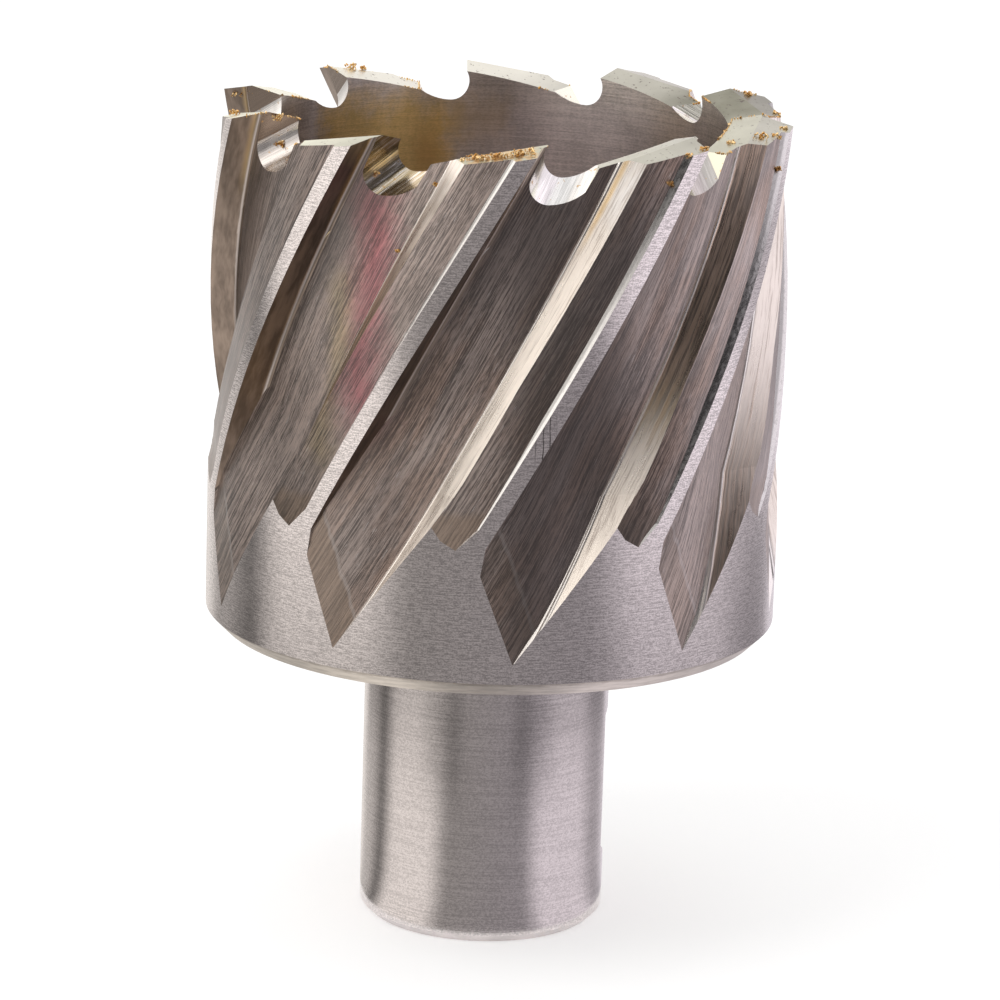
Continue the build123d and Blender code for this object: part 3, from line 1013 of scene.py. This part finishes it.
def edge_crumbs(recipe, given):
    """Points along edge lines, and which of them carry a crumb."""
    curve = recipe.out("GeometryNodeMeshToCurve", {"Mesh": given["Geometry"]})
    inputs = {"Curve": curve, "Length": given["Spacing"]}
    points = recipe.out("GeometryNodeResampleCurve", inputs, mode="LENGTH")
    cluster = recipe.noise(recipe.out("GeometryNodeInputPosition"), 260.0, 2.0, 0.5, 3.0)
    inputs = {"A": cluster, "B": 0.56}
    return points, recipe.out("FunctionNodeCompare", inputs, data_type="FLOAT", operation="GREATER_THAN")


def cluster_crumbs(recipe, given):
    """Points heaped round the middle of every cluster."""
    points = recipe.out("GeometryNodeMeshToPoints", {"Mesh": given["Geometry"]})
    inputs = {"Geometry": points, "Amount": given["Count"]}
    many = recipe.out("GeometryNodeDuplicateElements", inputs, domain="POINT")
    reach = recipe.out("GeometryNodeInputNamedAttribute", {"Name": "reach"}, data_type="FLOAT")
    offset = random_vector(recipe, given, (-1.0, -1.0, -0.5), (1.0, 1.0, 0.5), reach)
    return recipe.out("GeometryNodeSetPosition", {"Geometry": many, "Offset": offset}), True


def random_vector(recipe, given, low, high, scale):
    """Vector drawn at random for every point, and scaled."""
    inputs = {"Min": low, "Max": high, "Seed": given["Seed"]}
    drawn = recipe.out("FunctionNodeRandomValue", inputs, data_type="FLOAT_VECTOR")
    return recipe.out("ShaderNodeVectorMath", {0: drawn, "Scale": scale}, operation="SCALE")


def swarf_tree(name, scatter, material):
    """Geometry Nodes: crumbs on scattered points."""
    tree = bpy.data.node_groups.new(name, "GeometryNodeTree")
    sockets = {"Geometry": "Geometry", "Size": "Float", "Spacing": "Float", "Count": "Int", "Seed": "Int"}
    for item, kind in sockets.items():
        tree.interface.new_socket(item, in_out="INPUT", socket_type="NodeSocket" + kind)
    tree.interface.new_socket("Geometry", in_out="OUTPUT", socket_type="NodeSocketGeometry")
    recipe = Recipe(tree)
    given = recipe.node("NodeGroupInput").outputs
    points, chosen = scatter(recipe, given)
    inputs = {
        "Points": points,
        "Selection": chosen,
        "Instance": recipe.out("GeometryNodeMeshIcoSphere", {"Radius": 1.0, "Subdivisions": 1}, "Mesh"),
        "Rotation": random_vector(recipe, given, (0.0, 0.0, 0.0), (6.28, 6.28, 6.28), 1.0),
        "Scale": random_vector(recipe, given, (0.2, 0.15, 0.1), (1.0, 0.6, 0.4), given["Size"]),
    }
    crumbs = recipe.out("GeometryNodeInstanceOnPoints", inputs)
    solid = recipe.out("GeometryNodeRealizeInstances", {"Geometry": crumbs})
    coat = recipe.out("GeometryNodeSetMaterial", {"Geometry": solid, "Material": material})
    recipe.node("NodeGroupOutput", {0: coat})
    return tree


def grown(lines, tree, name, settings, material):
    """Plain mesh that a tree makes from lines or points."""
    seed = link(name + "_seed", lines)
    modifier = seed.modifiers.new("Grow", "NODES")
    modifier.node_group = tree
    for socket in tree.interface.items_tree:
        if socket.in_out == "INPUT" and socket.name != "Geometry":
            modifier[socket.identifier] = getattr(settings, socket.name.lower())
    whole = seed.evaluated_get(bpy.context.evaluated_depsgraph_get())
    mesh = bpy.data.meshes.new_from_object(whole)
    mesh.name = name
    bpy.data.objects.remove(seed)
    if not mesh.polygons:
        raise RuntimeError(name + " came out empty")
    if not mesh.materials:
        mesh.materials.append(material)
    piece = link(name, mesh)
    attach(piece, "root")


class CUTTER_OT_swarf(Operator):
    """Scatter crumbs of swarf along the tooth edges"""

    bl_idname = "cutter.swarf"
    bl_label = "Scatter the swarf"

    def execute(self, context):
        settings = context.scene.cutter_swarf
        material = copper_swarf(settings)
        lines = tooth_edges(bpy.data.objects["finished_cutter"].data)
        tree = swarf_tree("Edge crumbs", edge_crumbs, material)
        grown(lines, tree, "edge_crumbs", settings, material)
        tree = swarf_tree("Cluster crumbs", cluster_crumbs, material)
        grown(cluster_points(), tree, "cluster_crumbs", settings, material)
        return {"FINISHED"}


# Studio


def tent_paper(settings):
    """Light paper of the tent as the steel reflects it: darker at the camera's opening, on
    its flanks and behind on both sides."""
    material = new_material("Tent paper")
    recipe = Recipe(material.node_tree)
    x, y, z = (part / MM for part in recipe.parts(recipe.coords()))
    away = recipe.math("SQRT", x * x + y * y)
    turn = recipe.math("ARCTAN2", x, y * -1.0)
    # The shank and the head see a place under a wider turn than the tent's middle does
    wider = away.ease(78.0, 90.0, SHANK, RIM) / away * recipe.math("SINE", turn * 0.5)
    side = recipe.math("DEGREES", turn + wider)
    high = z.ease(45.0, 110.0)
    low = 1.0 - high
    plate = away.ease(42.0, 74.0, 0.85, 0.48) + away.ease(84.0, 92.0, 0.0, 0.12)
    plate = plate + away.ease(118.0, 165.0, 0.0, 0.45)
    back = side.ease(-152.0, -128.0, 0.88, 0.0) + side.ease(130.0, 156.0, 0.0, 0.88)
    level = plate.max(back)
    dips = ((-121.0, -100.0, 12.0, 0.76), (-150.0, -115.0, 15.0, 0.35), (112.0, 146.0, 14.0, 0.42))
    for left, right, soft, depth in dips:
        level = level * (1.0 - side.band(left, right, soft) * (low * depth))
    lit = side.band(-155.0, -40.0, 12.0) * settings.left
    lit = lit + side.band(56.0, 150.0, 12.0) * settings.right
    level = level * (high * lit + 1.0)
    level = level * side.ease(-20.0, 60.0, 1.0, 0.9)
    # The opening shows the dark room, and a grey card low in it
    first = high.ease(0.0, 1.0, -41.0, -20.0)
    last = high.ease(0.0, 1.0, 47.0, 57.0) + away.band(88.0, 145.0, 8.0) * 8.0
    gap = (side - first).ease(-12.0, 12.0) * (side - last).ease(-12.0, 12.0, 1.0, 0.0)
    level = level * (1.0 - gap) + high.ease(0.0, 1.0, 0.3, 0.08) * gap
    flank = side.band(-58.0, 66.0, 12.0) - side.band(-22.0, 26.0, 8.0)
    level = level * (1.0 - flank * away.band(50.0, 80.0, 10.0) * 0.5)
    tint = recipe.mix(side.ease(-60.0, 60.0), (1.0, 0.955, 0.91), (0.985, 0.925, 0.985))
    light = {"Color": recipe.mix(1.0, tint, level, "MULTIPLY")}
    recipe.surface(recipe.node("ShaderNodeEmission", light))
    return material


def tent_mesh():
    """Low dish that rises to a wall round the cutter."""
    profile = ((11.0, 0.3), (150.0, 0.3), (170.0, 6.0), (180.0, 30.0), (180.0, 260.0), (120.0, 330.0))
    count = 120
    turns = [2 * pi * step / count for step in range(count)]
    spots = [
        (radius * cos(turn) * MM, radius * sin(turn) * MM, height * MM)
        for radius, height in profile
        for turn in turns
    ]
    faces = []
    for ring in range(len(profile) - 1):
        low, high = ring * count, (ring + 1) * count
        for step in range(count):
            after = (step + 1) % count
            faces.append((low + step, high + step, high + after, low + after))
    mesh = bpy.data.meshes.new("tent")
    mesh.from_pydata(spots, [], faces)
    mesh.update()
    return mesh


def floor_paper(settings):
    """White floor that keeps a soft shadow."""
    material = new_material("Floor paper")
    recipe = Recipe(material.node_tree)
    grain = recipe.noise(recipe.coords(), 3000.0, 2.0, 0.5)
    colour = recipe.mix(grain * 0.04, settings.floor, (0.8, 0.8, 0.8))
    paper = recipe.out("ShaderNodeBsdfDiffuse", {"Color": colour})
    glow = recipe.out("ShaderNodeEmission", {"Color": (1.0, 1.0, 1.0), "Strength": 0.33})
    lit = recipe.out("ShaderNodeAddShader", {0: paper, 1: glow})
    mixed = {0: recipe.seen(), 1: paper, 2: lit}
    recipe.surface(recipe.node("ShaderNodeMixShader", mixed))
    return material


def set_world():
    """Even white surroundings, a little weaker as light than as seen."""
    world = bpy.data.worlds.new("Studio")
    world.use_nodes = True
    world.node_tree.nodes.clear()
    recipe = Recipe(world.node_tree)
    light = {"Color": (1.0, 1.0, 1.0), "Strength": recipe.seen().ease(0.0, 1.0, 0.8, 1.0)}
    recipe.node("ShaderNodeOutputWorld", {"Surface": recipe.out("ShaderNodeBackground", light)})
    bpy.context.scene.world = world


def set_lamp(settings):
    """Soft lamp from the upper left, for the floor's shadow."""
    lamp = bpy.data.lights.new("soft_lamp", "AREA")
    lamp.energy = settings.lamp
    lamp.shape = "DISK"
    lamp.size = 0.3
    holder = link("soft_lamp", lamp)
    holder.location = (-0.25, -0.2, 0.5)
    aim = Vector((0, 0, 0.03)) - holder.location
    holder.rotation_euler = aim.to_track_quat("-Z", "Y").to_euler()
    holder.visible_glossy = False


def set_camera(settings):
    """Camera in front of the cutter, looking a little down on it."""
    data = bpy.data.cameras.new("camera")
    data.lens = settings.lens
    data.sensor_width = 36.0
    data.clip_start = 0.01
    data.clip_end = 10.0
    camera = link("camera", data)
    pitch, roll = radians(14.351), radians(1.847)
    ahead = Vector((0.0, cos(pitch), -sin(pitch)))
    above = Vector((0.0, sin(pitch), cos(pitch)))
    across = Vector((1.0, 0.0, 0.0))
    right = across * cos(roll) + above * sin(roll)
    up = above * cos(roll) - across * sin(roll)
    turn = Matrix((right, up, -ahead)).transposed()
    place = Vector((0.57, -333.88, 118.3)) * MM
    camera.matrix_world = Matrix.Translation(place) @ turn.to_4x4()
    bpy.context.scene.camera = camera


class CUTTER_OT_studio(Operator):
    """Set the floor, the light tent, the lamps and the camera"""

    bl_idname = "cutter.studio"
    bl_label = "Set the studio"

    def execute(self, context):
        settings = context.scene.cutter_studio
        context.scene.view_settings.view_transform = "Standard"
        reach = 1.5
        corners = [(-reach, -reach, 0), (reach, -reach, 0), (reach, reach, 0), (-reach, reach, 0)]
        mesh = bpy.data.meshes.new("floor")
        mesh.from_pydata(corners, [], [(0, 1, 2, 3)])
        mesh.materials.append(floor_paper(settings))
        ground = link("floor", mesh)
        tent = link("tent", tent_mesh())
        tent.data.materials.append(tent_paper(settings))
        tent.visible_camera = False
        tent.visible_diffuse = False
        tent.visible_shadow = False
        set_world()
        set_lamp(settings)
        set_camera(settings)
        return {"FINISHED"}


class CUTTER_PT_panel(Panel):
    bl_idname = "CUTTER_PT_panel"
    bl_label = "Annular cutter"
    bl_space_type = "VIEW_3D"
    bl_region_type = "UI"
    bl_category = "Cutter"

    def draw(self, context):
        for settings, group, maker in (
            (context.scene.cutter_finish, CutterFinish, CUTTER_OT_dress),
            (context.scene.cutter_swarf, SwarfSettings, CUTTER_OT_swarf),
            (context.scene.cutter_studio, StudioSettings, CUTTER_OT_studio),
        ):
            for name in group.__annotations__:
                self.layout.prop(settings, name)
            self.layout.operator(maker.bl_idname)


CLASSES = (
    CutterFinish,
    SwarfSettings,
    StudioSettings,
    CUTTER_OT_dress,
    CUTTER_OT_swarf,
    CUTTER_OT_studio,
    CUTTER_PT_panel,
)


def register():
    for item in CLASSES:
        bpy.utils.register_class(item)
    bpy.types.Scene.cutter_finish = PointerProperty(type=CutterFinish)
    bpy.types.Scene.cutter_swarf = PointerProperty(type=SwarfSettings)
    bpy.types.Scene.cutter_studio = PointerProperty(type=StudioSettings)


def unregister():
    del bpy.types.Scene.cutter_studio
    del bpy.types.Scene.cutter_swarf
    del bpy.types.Scene.cutter_finish
    for item in reversed(CLASSES):
        bpy.utils.unregister_class(item)


def main():
    register()
    bpy.ops.cutter.dress()
    bpy.ops.cutter.swarf()
    bpy.ops.cutter.studio()


if __name__ == "__main__":
    main()
